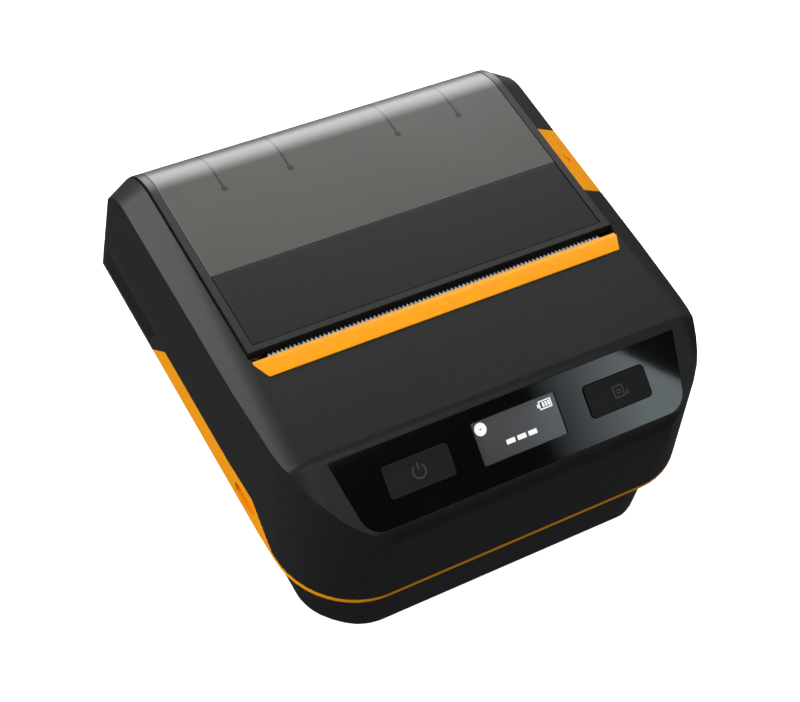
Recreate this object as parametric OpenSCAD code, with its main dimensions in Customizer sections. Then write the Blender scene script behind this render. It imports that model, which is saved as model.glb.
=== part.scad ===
// Portable 80 mm label printer with a hinged lid over its roll bay.
// Origin: centre of the base, on the surface it stands on. +Z is up and the control panel faces -Y.

/* [Body] */
// Overall width across the sides
body_w = 103; // [101:1:126]
// Overall depth from the front to the rear
body_d = 106; // [102:1:130]
// Overall height to the top of the lid
body_h = 50; // [49:1:62]
// Thickness of the shell walls
wall = 2; // [1.6:0.1:2.4]
// Height of the seam between the bottom shell and the band
seam_z = 16; // [15:0.5:17]
// Radius of the front corners in plan, at the seam
corner_r = 17.5; // [15:0.5:19]
// Radius where the top rolls over to the rear
rear_round = 12.5; // [9:0.5:14]
// How far the bottom shell is set in under the band at each side
side_tuck = 4.2; // [3.8:0.1:4.6]

/* [Band] */
// Height of the band along the sides
band_h = 7.5; // [6.5:0.5:8.5]
// Height of the thin line round the front
line_h = 1; // [0.8:0.1:1.6]
// Length of the strap slot
strap_l = 9; // [7:0.5:10]
// Height of the strap slot
strap_h = 3; // [2.5:0.1:3.4]

/* [Control panel] */
// Slope of the control panel
panel_tilt = 31.5; // [28:0.5:34]
// Width of the panel lens along its top edge
lens_w = 84.8; // [76:0.4:88]
// Length of the panel lens down the slope
lens_l = 16.6; // [15.6:0.2:17]
// Thickness of the panel lens
lens_t = 1.2; // [1:0.1:1.4]
// Width of the display window
display_w = 20.6; // [16:0.2:24]
// Height of the display window
display_h = 9.4; // [8:0.2:10]
// Width of each button
button_w = 15.4; // [11:0.2:17]
// Height of each button
button_h = 7; // [5.5:0.1:8]
// Distance of each button from the middle
button_x = 24.6; // [22:0.2:27]
// Travel of each button
button_travel = 0.5; // [0.3:0.1:0.5]

/* [Lid] */
// Width of the lid
lid_w = 90.4; // [88.4:0.2:92]
// Thickness of the lid
lid_t = 2.6; // [2.2:0.1:3]
// Distance from the front of the body to the front edge of the lid
lid_front = 46.7; // [45:0.1:48]
// Length of the dark front panel of the lid
cover_l = 19.2; // [16:0.2:21]
// Diameter of the hinge pin
hinge_pin_d = 2; // [1.6:0.1:2.4]
// Diameter of the hinge barrels
hinge_barrel_d = 5.6; // [5:0.1:5.8]

/* [Cutter] */
// Length of the serrated blade
blade_l = 83; // [74:1:85]
// Pitch of the teeth
tooth_pitch = 1; // [0.8:0.1:2]
// Height of the teeth
tooth_h = 0.9; // [0.6:0.1:1]
// Depth of the bezel from front to back
bezel_d = 5.6; // [5:0.1:6]

/* [Paper] */
// Diameter of the largest paper roll
roll_d = 40; // [34:1:40]
// Width of the paper bay
bay_w = 81; // [79:0.1:81.4]

/* [Print mechanism] */
// Diameter of the platen roller
platen_d = 10; // [9:0.2:10.4]
// Diameter of the platen shaft
platen_shaft_d = 4; // [3:0.2:4.4]
// Tooth size of the gears
gear_module = 0.5; // [0.5]
// Teeth of the platen gear
platen_teeth = 22; // [18:1:23]
// Teeth of the small step of the reduction gear
step_teeth = 16; // [14:1:18]
// Teeth of the large step of the reduction gear
wheel_teeth = 36; // [30:1:38]
// Teeth of the motor pinion
pinion_teeth = 14; // [12:1:16]
// Diameter of the stepper motor
motor_d = 20; // [16:1:20]
// Length of the stepper motor
motor_l = 16.5; // [12:0.5:17]

/* [Power] */
// Width of the battery pack
battery_w = 56; // [44:1:60]
// Depth of the battery pack
battery_d = 39; // [30:1:40]
// Height of the battery pack
battery_h = 11.5; // [9:0.5:12]

/* [Hidden] */

$fn = 48;
arc_step = 7.5;          // largest turn of an outline between two points
eps = 0.05;              // overlap of cuts past a face
big = 200;               // larger than the whole printer
gap = 0.3;               // clearance between pieces that move past each other
fit_gap = 0.05;          // radial clearance of a shaft in its hole
seat_gap = 0.1;          // clearance of a piece seated in a pocket

half_w = body_w / 2;
front_y = -body_d / 2;
rear_y = body_d / 2;
foot_h = 0.8;                            // how far the feet stand below the shell
base_z = foot_h;
floor_z = base_z + wall;                 // inside of the bottom shell
lid_proud = 0.7;                         // lid above the deck
deck_z = body_h - lid_proud;
shoulder_drop = 3.1;                     // fall of the shoulder from the deck to the crease
crease_z = deck_z - shoulder_drop;
belly_z = seam_z + 14;                   // height of the widest line of the sides
seam_inset = 0.8;                        // the sides at the seam, inside the widest line
crease_inset = 0.4;
front_taper = 1.5;                       // narrowing of each side towards the front
corner_top_r = corner_r + 9;            // the front corners open out towards the deck
rear_corner_r = 4;
rear_corner_top_r = 7;
base_rear_r = 6;
base_front_r = corner_r + 3;
base_half = half_w - seam_inset - side_tuck;
base_end_y = rear_y - 0.5;               // front and rear faces of the bottom shell
base_lean = 1.2;                         // the sides lean in towards the base
base_end_lean = 0.6;
base_edge_r = 3;
strap_x0 = base_half + 0.2;              // inner end of the housing behind each strap slot
strap_y0 = front_y + 27;
strap_z = seam_z + band_h / 2;
lid_half = lid_w / 2;
shoulder_x = lid_half + 0.4;             // inner edge of each shoulder
cheek_t = 1.5;                           // wall beside the lid

// control panel: its plane starts where the deck ends
panel_start_y = front_y + 18.4;
deck_edge_r = 4;
nose_r = 5;
panel_l = 20.4;                          // from there down the slope to the corner of the nose
panel_margin = 1.5;                      // plane above the top edge of the lens
lens_y = panel_start_y - panel_margin * cos(panel_tilt);
lens_z = deck_z - panel_margin * sin(panel_tilt);
lens_recess = lens_t + 0.1;
lens_taper = 3.4;                        // narrowing of each side of the lens down the slope
lens_r = 5;
display_s = 7.6;                         // middle of the display below the top edge of the lens
button_s = 7.9;                          // middle of the buttons below the top edge of the lens
button_r = 0.8;
button_proud = 0.5;
button_gap = 0.2;
button_flange = 0.8;                     // retaining flange round each button
button_flange_t = 0.7;
stem_d = 3;
stem_l = 0.4;
flange_top = -wall - gap;                // underside of the shell, in the panel's own frame
switch_top = flange_top - button_flange_t - stem_l - button_travel - 0.1;
switch_h = 1.8;
switch_w = 6;
board_t = 1.6;
panel_board_w = 66;
panel_board_l = 11;
display_sink = 0.3;                        // display face below the face of the lens
display_t = 1.6;

// tear edge and lid outline
lid_front_y = front_y + lid_front;
tear_gap = 0.9;                          // slot that the label leaves through
tip_y = lid_front_y - tear_gap;          // tips of the teeth
bezel_rear_y = tip_y - tooth_h;
bezel_front_y = bezel_rear_y - bezel_d + 0.8;
bezel_flare = 1.7;
bezel_proud = 0.2;
bezel_slope = 1.5;                       // width of the slope down to the blade
bezel_t = 2.2;
blade_t = 0.5;
blade_root = 2.6;
bezel_lip = 0.5;                         // skin of the bezel over the blade
blade_z = deck_z + bezel_proud - bezel_lip - blade_t;
bezel_ledge_t = 1.6;
lid_round = rear_round + lid_proud;
strip_w = 1.7;                           // side strips of the lid frame
rim_w = 1.4;                             // front rim of the lid frame
cover_y0 = lid_front_y + rim_w;
cover_y1 = cover_y0 + cover_l;
cover_t = 1.2;
window_t = 1.5;
lid_low_z = seam_z + 4;
window_end_z = body_h - lid_round - 1;   // lower edge of the window on the rear wall
window_ledge = 3;
joint_line = 0.15;                       // line between the window and the cover plate
lid_rib_x = [-30, -13.75, 13.75, 30];
lid_rib_w = 1;
lid_rib_d = 2.2;
lid_rib_l = 11;                          // length of the ribs forward of the rear wall
skirt_d = 7;
skirt_t = 1.5;

// hinge
hinge_r = hinge_barrel_d / 2;
hinge_y = rear_y - hinge_r - 0.2;
hinge_z = seam_z + 7;
barrel_x0 = 26;                          // inner ends of the lid's barrels
barrel_x1 = lid_half - 0.4;
body_barrel_x0 = -barrel_x0 + gap;       // the body's barrel, which leaves room for the spring
body_barrel_x1 = 14;
rear_wall_top = hinge_z - (rear_y - hinge_y) - 0.4;   // under the lid when it is open

// roll bay
roll_gap = 1;
screw_xy = [[37, front_y + 12], [38, rear_y - 5.4]];
boss_r = 2.4;
bay_t = 1.2;
bay_half = bay_w / 2;
bay_end_t = 1;
bay_r = roll_d / 2 + roll_gap + bay_t;
bay_z = floor_z + 0.5 + bay_r;
boss_top_z = rear_wall_top - 1;          // top of the rear screw posts
// how far behind its middle the bay reaches at the height of the rear screw posts
bay_reach = bay_z > boss_top_z ? sqrt(pow(bay_r, 2) - pow(bay_z - boss_top_z, 2)) : bay_r;
bay_y = min(hinge_y - hinge_r - 1.3 - bay_r, screw_xy[1][1] - boss_r - 0.3 - bay_reach);
bay_lip_z = bay_z + 4.5;
bay_top_z = body_h - lid_t - 3.4;

// platen: below the front edge of the lid
platen_r = platen_d / 2;
platen_y = lid_front_y + 0.7 + platen_r;
platen_z = body_h - lid_t - 6.4;
arm_x0 = bay_half - 1.8;                 // inner face of the lid's arms
arm_t = 1.6;
arm_r = 5;
bush_r = platen_shaft_d / 2 + 1.5;
plate_x0 = bay_half + bay_end_t + 0.2;   // inner face of the mechanism's side plates
plate_t = 1.2;
plate_x1 = plate_x0 + plate_t;
plate_rear_y = platen_y + bush_r + 2.2;
rubber_half = arm_x0 - 0.4;
gear_w = 1.6;
gear_x = -(plate_x1 + 0.4 + gear_w);     // outer face of the platen gear

// The lid swings the platen away on this line, so the reduction gear lies on it
lift_len = norm([hinge_y - platen_y, platen_z - hinge_z]);
lift_dir = [platen_z - hinge_z, hinge_y - platen_y] / lift_len;
platen_gear_r = platen_teeth * gear_module / 2;
step_r = step_teeth * gear_module / 2;
wheel_r = wheel_teeth * gear_module / 2;
pinion_r = pinion_teeth * gear_module / 2;
mesh_slack = 0.05;                       // added to each centre distance
step_yz = [platen_y, platen_z] - (platen_gear_r + step_r + mesh_slack) * lift_dir;
motor_dir = [cos(235), sin(235)];
motor_yz = step_yz + (wheel_r + pinion_r + mesh_slack) * motor_dir;
wheel_w = 1.4;
wheel_x = gear_x - 0.3 - wheel_w;        // outer face of the large step
gear_pin_r = 1;
motor_shaft_r = 1;
backlash = 0.06;                         // taken off the thickness of each tooth

// printhead
head_t = 1.1;
head_gap = 0.3;
head_face_y = platen_y - platen_r - head_gap;
head_half = arm_x0 - 0.5;
sink_t = 2.6;
sink_half = head_half - 1;
sink_z0 = platen_z - 8.5;
sink_z1 = body_h - lid_t - 2.4;
head_pivot = [head_face_y - head_t - sink_t / 2, sink_z0 + 1.5];
head_pivot_r = 1.2;
back_wall_y = head_face_y - head_t - sink_t - 3.8;
head_spring_x = 22;
head_spring_r = 2;
spring_wire = 0.5;

// release button and lock lever on the right
release_y0 = lid_front_y + 11.5;
release_l = 20.2;
release_y1 = release_y0 + release_l;
release_travel = 1.5;
release_z0 = crease_z - 6.2;             // lower edge of the button on the side
release_x0 = shoulder_x + 0.1;
lever_t = 1.2;
lever_x0 = plate_x1 + 0.3;
lever_pivot = [platen_y + 1.1, platen_z - 8];
lever_pin_r = 1.2;
lever_reach = 8.1;                       // from the lever's pivot to the foot of the button
lever_top_z = release_z0 - 3;
foot_l = 4;
release_foot_y = lever_pivot[0] + lever_reach;
release_floor_z = release_z0 - release_travel - gap;    // floor of the pocket under the button
release_floor_t = 1.2;
release_seat = 3;                        // depth of the spring's seat in the button
release_spring_x = half_w - 3.2;
release_spring_y = release_y1 - 5.5;

// fastenings and base
screw_r = 1.25;
screw_head_r = 2.3;
screw_head_h = 1.6;
base_boss_r = 3.6;
boss_z = 9;
foot_r = 4.2;
foot_t = 1.3;
foot_xy = [[38.3, front_y + 21], [38.3, rear_y - 17]];
guide_l = 4;                             // reach of the paper guide in front of the bay, clear of the motor
foot_bar_l = 7;                          // width of the mechanism frame's feet
foot_bar_t = 1.6;
plate_lift = 1;                          // the plates stay clear of the rounded edge of the floor
mech_screw_r = 1;
mech_screw_bite = 1.4;                   // depth of the mechanism screws in the floor
mech_screw_xy = [plate_x0 - 2.2, (back_wall_y + bay_y - bay_r) / 2];

// power
battery_x = 4;
battery_y = front_y + 7 + battery_d / 2;
door_t = 1.5;
door_rim = 1.5;                          // door beyond the battery on each side
battery_z = floor_z + 0.1;
board_z = battery_z + battery_h + 2.4;
board_w = 54;
board_l = 38;
port_w = 9;
port_h = 3.2;
port_l = 7.4;
charge_board_z = floor_z + 1.4;
charge_board_l = 10;

// ---- shared shapes ----

module mirrored_x() { children(); mirror([1, 0, 0]) children(); }

// Draws an outline of [y, z] points as a bar from x0 to x1
module bar_x(x0, x1) {
    translate([x0, 0, 0]) rotate([90, 0, 90]) linear_extrude(x1 - x0) children();
}

// A round bar along X at a [y, z] place
module rod_x(yz, r, x0, x1) {
    translate([x0, yz[0], yz[1]]) rotate([0, 90, 0]) cylinder(r = r, h = x1 - x0);
}

module box(x0, x1, y0, y1, z0, z1) { translate([x0, y0, z0]) cube([x1 - x0, y1 - y0, z1 - z0]); }

// Places its children on the control panel: origin at the middle of the lens's top edge, +Z outwards
module on_panel() { translate([0, lens_y, lens_z]) rotate([panel_tilt, 0, 0]) children(); }

// Rounds an outline: each corner is [x, y, radius], and a radius of 0 keeps it sharp
function filleted(corners) = [for (i = [0:len(corners) - 1])
    each corner_arc(corners[(i + len(corners) - 1) % len(corners)], corners[i],
        corners[(i + 1) % len(corners)])];

function corner_arc(before, corner, after) =
    corner[2] == 0 ? [[corner[0], corner[1]]] :
    let (p = [corner[0], corner[1]],
        u = unit([before[0], before[1]] - p), v = unit([after[0], after[1]] - p),
        half = acos(u * v) / 2,
        c = p + corner[2] / sin(half) * unit(u + v),
        from = p + u * corner[2] / tan(half) - c,
        turn = (u[0] * v[1] - u[1] * v[0] > 0 ? -1 : 1) * (180 - 2 * half),
        steps = max(2, ceil(abs(turn) / arc_step)),
        start = atan2(from[1], from[0]))
    [for (k = [0:steps]) c + corner[2] * [cos(start + turn * k / steps), sin(start + turn * k / steps)]];

function unit(v) = v / norm(v);

module rounded_rect(w, h, r) {
    offset(r) square([w - 2 * r, h - 2 * r], center = true);
}

// Side view of the body: rolled rear, flat deck, slanted panel and an almost upright front
module body_side() {
    skirt_z = seam_z - shoulder_drop - wall;   // the outline runs on below the seam
    polygon(filleted([
        [rear_y, skirt_z, 0], [rear_y, deck_z, rear_round], [panel_start_y, deck_z, deck_edge_r],
        [panel_start_y - panel_l * cos(panel_tilt), deck_z - panel_l * sin(panel_tilt), nose_r],
        [front_y, seam_z, 0], [front_y, skirt_z, 0]]));
}

// Front view of the body: the sides lean out a little from the seam to the belly
module body_front() {
    polygon([
        [-half_w + seam_inset, seam_z], [half_w - seam_inset, seam_z],
        [half_w, belly_z], [half_w - crease_inset, body_h], [-half_w + crease_inset, body_h], [-half_w,
            belly_z]]);
}

// The side outline carried across, with a shoulder that falls away beyond shoulder_x all along it
module body_shoulders(inset) {
    lean = (half_w - shoulder_x) / shoulder_drop;
    inner = shoulder_x - inset * (sqrt(1 + lean * lean) - lean);
    hull() {
        bar_x(-inner, inner) offset(delta = -inset) body_side();
        bar_x(-half_w, half_w) offset(delta = -inset - (half_w - inner) / lean) body_side();
    }
}

// Plan of the body, before its corners are rounded: the sides close in towards the front
module body_plan() {
    polygon([[half_w, rear_y], [-half_w, rear_y], [-half_w, 0],
        [-half_w + front_taper, front_y], [half_w - front_taper, front_y], [half_w, 0]]);
}

// Rounds the right corner where a side meets an end at place: r0 at the seam, r1 at the deck
module corner_cut(place, side, r0, r1) {
    low_z = seam_z - 2;
    arc = corner_arc(side, [0, 0, r0], [-1, 0]);
    translate([place[0], place[1], low_z]) linear_extrude(deck_z + 1 - low_z, scale = r1 / r0)
        polygon(concat(arc, [[-r0, -2 * sign(side[1])], [2, -2 * sign(side[1])], [2, r0 * sign(side[1])]]));
}

// The body's outer form above the seam, set in by inset
module body_form(inset) {
    intersection() {
        body_shoulders(inset);
        body_walls(inset);
    }
}

// The upright walls alone, as the front view and the plan give them
module body_walls(inset) {
    intersection() {
        translate([0, big, 0]) rotate([90, 0, 0]) linear_extrude(2 * big) offset(delta = -inset) body_front();
        difference() {
            linear_extrude(big) offset(delta = -inset) body_plan();
            body_corners(inset);
        }
    }
}

// What the rounding of the four upright corners takes off
module body_corners(inset) {
    mirrored_x() {
        corner_cut([half_w - front_taper - inset, front_y + inset], [front_taper, -front_y],
            corner_r - inset, corner_top_r - inset);
        corner_cut([half_w - inset, rear_y - inset], [0, -1], rear_corner_r - inset,
            rear_corner_top_r - inset);
    }
}

// The same form open at the seam, for hollowing out the shell
module body_hollow() {
    body_form(wall);
    hollow_walls();
}

// Up to the belly the inside follows the walls alone
module hollow_walls() {
    intersection() {
        difference() {
            linear_extrude(belly_z) offset(delta = -wall) body_plan();
            body_corners(wall);
        }
        translate([0, big, 0]) rotate([90, 0, 0]) linear_extrude(2 * big) polygon([
            [-half_w + seam_inset + wall, seam_z - 1], [half_w - seam_inset - wall, seam_z - 1],
            [half_w - wall, belly_z], [-half_w + wall, belly_z]]);
        bar_x(-big, big) polygon([[front_y + wall, seam_z - 1], [rear_y - wall, seam_z - 1],
            [rear_y - wall, belly_z], [front_y + wall, belly_z]]);
    }
}

// Plan of the bottom shell, which is set in under the sides
module base_plan() {
    polygon(filleted([
        [base_half, base_end_y, base_rear_r], [-base_half, base_end_y, base_rear_r],
        [-base_half, -base_end_y, base_front_r], [base_half, -base_end_y, base_front_r]]));
}

// An upright section of the bottom shell with its lower edges rounded
module base_section(half, lean) {
    polygon(filleted([
        [half, seam_z, 0], [-half, seam_z, 0],
        [-half + lean, base_z, base_edge_r], [half - lean, base_z, base_edge_r]]));
}

// Bottom shell's outer form, set in by inset
module base_form(inset) {
    intersection() {
        linear_extrude(seam_z) offset(delta = -inset) base_plan();
        translate([0, big, 0]) rotate([90, 0, 0]) linear_extrude(2 * big) offset(delta = -inset)
            base_section(base_half, base_lean);
        bar_x(-big, big) offset(delta = -inset) base_section(base_end_y, base_end_lean);
    }
}

// Side view of what the band takes from the skirt: deep along the sides, thin round the front
module band_side() {
    slant = 6.7;
    band_rear = front_y + 70.7;
    ramp_y0 = front_y + 29;
    ramp_y1 = front_y + 19;
    polygon([[band_rear + slant, seam_z - eps], [band_rear, seam_z + band_h],
        [ramp_y0, seam_z + band_h], [ramp_y1, seam_z + line_h],
        [front_y - 1, seam_z + line_h], [front_y - 1, seam_z - eps]]);
}

// Ring of wall between the seam and the upper shell, with a web over the bottom shell's rim
module skirt() {
    web_t = line_h;
    difference() {
        intersection() {
            bar_x(-big, big) body_side();
            body_walls(0);
            box(-big, big, -big, big, seam_z, seam_z + band_h);
        }
        intersection() {
            hollow_walls();
            box(-big, big, -big, big, seam_z + web_t, big);
        }
        translate([0, 0, seam_z - 1]) linear_extrude(big) offset(delta = -wall) base_plan();
    }
}

// Place of a helix at angle a: radius r, climbing pitch each turn, as a ring of wire points
function coil_ring(r, wire, pitch, a, sides) = [for (k = [0:sides - 1])
    let (b = 360 * k / sides, rr = r + wire * cos(b))
    [rr * cos(a), rr * sin(a), pitch * a / 360 + wire * sin(b)]];

// A coil spring along +Z that starts at z = 0
module coil(r, wire_d, pitch, turns, sides = 6, steps = 16) {
    n = turns * steps;
    rings = [for (i = [0:n]) coil_ring(r, wire_d / 2, pitch, 360 * i / steps, sides)];
    faces = [for (i = [0:n - 1], k = [0:sides - 1]) let (j = (k + 1) % sides)
        [i * sides + k, i * sides + j, (i + 1) * sides + j, (i + 1) * sides + k]];
    polyhedron([for (ring = rings, p = ring) p],
        concat(faces, [[for (k = [sides - 1:-1:0]) k], [for (k = [0:sides - 1]) n * sides + k]]),
        convexity = 10);
}

// Outline of a spur gear: straight flanks at the pressure angle, a tooth centred on +Y
module gear_outline(teeth, turn = 0) {
    r = teeth * gear_module / 2;
    tip = r + 0.9 * gear_module;
    root = r - 1.2 * gear_module;
    half_at_pitch = PI * gear_module / 4 - backlash / 2;
    tip_half = half_at_pitch - 0.9 * gear_module * tan(22);
    root_half = half_at_pitch + 1.0 * gear_module * tan(20);
    rotate(turn) union() {
        circle(root, $fn = 4 * teeth);
        for (i = [0:teeth - 1]) rotate(360 * i / teeth)
            polygon([[-root_half, root - 0.2], [root_half, root - 0.2], [half_at_pitch, r],
                [tip_half, tip], [-tip_half, tip], [-half_at_pitch, r]]);
    }
}

// A gear across X at a [y, z] place, with a tooth pointing along the direction toward
module gear_x_axis(yz, teeth, toward, x0, x1, tooth = true) {
    angle = atan2(toward[1], toward[0]) - 90 + (tooth ? 0 : 180 / teeth);
    translate([x0, yz[0], yz[1]]) rotate([90, 0, 90]) linear_extrude(x1 - x0) gear_outline(teeth, angle);
}

// ---- housing ----

module upper_shell() {
    color("#333333") difference() {
        union() {
            difference() {
                union() {
                    difference() {
                        body_form(0);
                        body_hollow();
                        // the skirt has its own web over the rim
                        box(-big, big, -big, big, seam_z - 1, seam_z + band_h);
                    }
                    difference() {
                        skirt();
                        bar_x(-big, big) band_side();
                    }
                }
                // opening under the lid, down to the top of the rear wall
                box(-shoulder_x, shoulder_x, bezel_rear_y, big, rear_wall_top, big);
            }
            intersection() {
                union() {
                    body_form(wall / 2);
                    box(-big, big, front_y + wall, rear_y - wall + eps, 0, seam_z + band_h);
                }
                union() {
                    // ledge under the bezel
                    box(-shoulder_x - wall, shoulder_x + wall, bezel_front_y - 1.5, bezel_rear_y - 0.4,
                        deck_z + bezel_proud - bezel_t - bezel_ledge_t, deck_z);
                    // cheeks beside the lid
                    mirrored_x() box(shoulder_x, shoulder_x + cheek_t, platen_y + 12.6, rear_y - wall / 2,
                        rear_wall_top - 2, big);
                    release_floor();
                    upper_bosses();
                }
            }
            hinge_support();
        }
        bezel_pocket();
        panel_cutouts();
        release_opening();
        side_grooves();
        rod_x([hinge_y, hinge_z], hinge_pin_d / 2, -shoulder_x - cheek_t - eps, shoulder_x + cheek_t + eps);
        mirrored_x() for (p = screw_xy) translate([p[0], p[1], 0]) cylinder(r = screw_r, h = seam_z + 1,
            $fn = 24);
    }
}

// Posts that take the housing screws, and the webs that tie the rear ones to the rear wall
module upper_bosses() {
    post_top = [deck_z, boss_top_z];
    mirrored_x() {
        for (i = [0:1]) translate([screw_xy[i][0], screw_xy[i][1], boss_z])
            cylinder(r = boss_r, h = post_top[i] - boss_z);
        box(screw_xy[1][0] - 0.8, screw_xy[1][0] + 0.8, screw_xy[1][1] + boss_r - 0.4, rear_y - wall + eps,
            seam_z + line_h, post_top[1]);
    }
}

// The body's own hinge barrel on a web above the rear wall
module hinge_support() {
    rod_x([hinge_y, hinge_z], hinge_r, body_barrel_x0, body_barrel_x1);
    box(body_barrel_x0, body_barrel_x1, rear_y - wall - 0.6, rear_y - 0.2, rear_wall_top - 1, hinge_z);
}

// Floor of the release button's pocket, which its spring stands on
module release_floor() {
    box(shoulder_x, half_w, release_y0 - wall, release_y1 + wall, release_floor_z - release_floor_t,
        release_floor_z);
}

// Pocket in the deck that takes the bezel
module bezel_pocket() {
    translate([0, 0, deck_z + bezel_proud - bezel_t]) linear_extrude(big) offset(delta = eps) bezel_outline();
}

module panel_cutouts() {
    on_panel() {
        translate([0, 0, -lens_recess]) linear_extrude(big) offset(delta = seat_gap) lens_outline();
        for (side = [-1, 1]) translate([side * button_x, -button_s, -2 * wall]) linear_extrude(big)
            rounded_rect(button_w + 2 * button_gap, button_h + 2 * button_gap, button_r + button_gap);
        translate([0, -display_s, -2 * wall]) linear_extrude(big)
            square([display_w + 2, display_h + 1.6], center = true);
    }
}

// Opening for the release button, with room for its travel
module release_opening() {
    box(shoulder_x - eps, big, release_y0 - gap, release_y1 + gap, release_floor_z, big);
}

// Four grip grooves on each side behind the band
module side_grooves() {
    groove = 0.8;
    mirrored_x() for (i = [0:3]) {
        z = seam_z + 2.2 + 1.6 * i;
        box(half_w - seam_inset - groove, big, front_y + 78.5 - i, rear_y + 1, z, z + 0.8);
    }
}

module bottom_shell() {
    color("#1c1c1c") difference() {
        union() {
            difference() {
                base_form(0);
                intersection() {
                    base_form(wall);
                    box(-big, big, -big, big, floor_z, big);
                }
                translate([0, 0, seam_z - 3]) linear_extrude(big) offset(delta = -wall) base_plan();
            }
            mirrored_x() for (p = screw_xy)
                translate([p[0], p[1], base_z + wall / 2]) cylinder(r = base_boss_r,
                    h = boss_z - base_z - wall / 2);
            charge_posts();
        }
        mirrored_x() for (p = screw_xy) translate([p[0], p[1], 0]) {
            cylinder(r = screw_r + 0.15, h = big, $fn = 24);
            cylinder(r = screw_head_r + 0.2, h = base_z + wall + screw_head_h);
        }
        mirrored_x() for (p = foot_xy) translate([p[0], p[1], 0]) cylinder(r = foot_r + seat_gap, h = foot_t);
        mechanism_screw_holes(floor_z + eps);
        // battery opening and the rebate that the door sits in
        battery_box(0.4, 0, floor_z + 1);
        battery_box(door_rim + gap, 0, base_z + door_t + seat_gap);
        // charging inlet
        translate([0, rear_y, charge_board_z + board_t + port_h / 2]) rotate([90, 0, 0])
            linear_extrude(4 * wall, center = true) rounded_rect(port_w + 0.8, port_h + 0.8, 1.8);
    }
}

// A block in plan over the battery, wider by rim on every side
module battery_box(rim, z0, z1) {
    box(battery_x - battery_w / 2 - rim, battery_x + battery_w / 2 + rim,
        battery_y - battery_d / 2 - rim, battery_y + battery_d / 2 + rim, z0, z1);
}

// Posts under the charging board
module charge_posts() {
    for (side = [-1, 1]) translate([side * 11, rear_y - 8, floor_z - eps])
        cylinder(r = 1.6, h = charge_board_z - floor_z + eps);
}

module side_band() {
    color("#ffa51f") difference() {
        union() {
            intersection() {
                skirt();
                bar_x(-big, big) band_side();
            }
            // housing behind each strap slot
            intersection() {
                bar_x(-big, big) band_side();
                mirrored_x() box(strap_x0, half_w - front_taper - wall / 2, strap_y0 - 1.5,
                    strap_y0 + strap_l + 1.5,
                    seam_z, seam_z + band_h);
            }
        }
        mirrored_x() strap_passage();
    }
}

// A strap goes in through the side and out below
module strap_passage() {
    translate([half_w, strap_y0 + strap_l / 2, strap_z]) rotate([90, 0, 90])
        linear_extrude(2 * (half_w - strap_x0 - 1.2), center = true) rounded_rect(strap_l, strap_h,
            strap_h / 2 - 0.01);
    box(strap_x0 + 1.2, half_w - seam_inset - 1.6, strap_y0 + strap_h / 2, strap_y0 + strap_l - strap_h / 2,
        seam_z - 1, strap_z);
}

// ---- tear edge ----

// Plan of the bezel, flared towards the lid
module bezel_outline() {
    bezel_half = lid_half - bezel_flare;
    polygon([[-bezel_half, bezel_front_y], [bezel_half, bezel_front_y],
        [lid_half, bezel_rear_y - 1], [lid_half, bezel_rear_y], [-lid_half, bezel_rear_y],
        [-lid_half, bezel_rear_y - 1]]);
}

module tear_bezel() {
    color("#ffab24") difference() {
        translate([0, 0, deck_z + bezel_proud - bezel_t]) linear_extrude(bezel_t) bezel_outline();
        // the rear edge falls away to the blade
        bar_x(-big, big) polygon([[bezel_rear_y - bezel_slope, deck_z + bezel_proud + eps],
            [bezel_rear_y + eps, blade_z + blade_t + 0.1], [bezel_rear_y + eps, big],
                [bezel_rear_y - bezel_slope, big]]);
        // slot for the blade
        box(-blade_l / 2 - seat_gap, blade_l / 2 + seat_gap, bezel_rear_y - blade_root, big, blade_z,
            blade_z + blade_t);
    }
}

module tear_blade() {
    count = floor(blade_l / tooth_pitch);
    start = -count * tooth_pitch / 2;
    color("#d8d8d4") translate([0, 0, blade_z]) linear_extrude(blade_t) polygon(concat(
        [[start, bezel_rear_y - blade_root]],
        [for (i = [0:count - 1]) each [
            [start + i * tooth_pitch, bezel_rear_y],
            [start + (i + 0.5) * tooth_pitch, tip_y]]],
        [[-start, bezel_rear_y], [-start, bezel_rear_y - blade_root]]));
}

// ---- control panel ----

// Lens outline: straight top edge, sides that close in, round lower corners
module lens_outline() {
    low_half = lens_w / 2 - lens_taper;
    polygon(filleted([
        [lens_w / 2, 0, 0], [-lens_w / 2, 0, 0], [-low_half, -lens_l, lens_r], [low_half, -lens_l, lens_r]]));
}

module panel_lens() {
    color("#060606") on_panel() translate([0, 0, -lens_t]) linear_extrude(lens_t) difference() {
        lens_outline();
        for (side = [-1, 1]) translate([side * button_x, -button_s])
            rounded_rect(button_w + 2 * button_gap, button_h + 2 * button_gap, button_r + button_gap);
        translate([0, -display_s]) square([display_w, display_h], center = true);
    }
}

// The display's glass fills the window, and its body hangs behind the lens
module display_module() {
    color("#4f4f51") on_panel() translate([0, -display_s, 0]) {
        translate([0, 0, -lens_t - eps]) linear_extrude(lens_t + eps - display_sink)
            square([display_w - 2 * seat_gap, display_h - 2 * seat_gap], center = true);
        translate([0, 0, -lens_t - display_t]) linear_extrude(display_t)
            square([display_w + 1.8, display_h + 1.4], center = true);
    }
}

module panel_board() {
    board_top = switch_top - switch_h;
    color("#1f5b34") on_panel() difference() {
        translate([-panel_board_w / 2, -display_s - panel_board_l / 2, board_top - board_t])
            cube([panel_board_w, panel_board_l, board_t]);
        for (side = [-1, 1]) translate([side * (panel_board_w / 2 - 2.5), -display_s,
            board_top - 2 * board_t])
            cylinder(r = 1.1, h = 3 * board_t, $fn = 24);
    }
}

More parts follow.
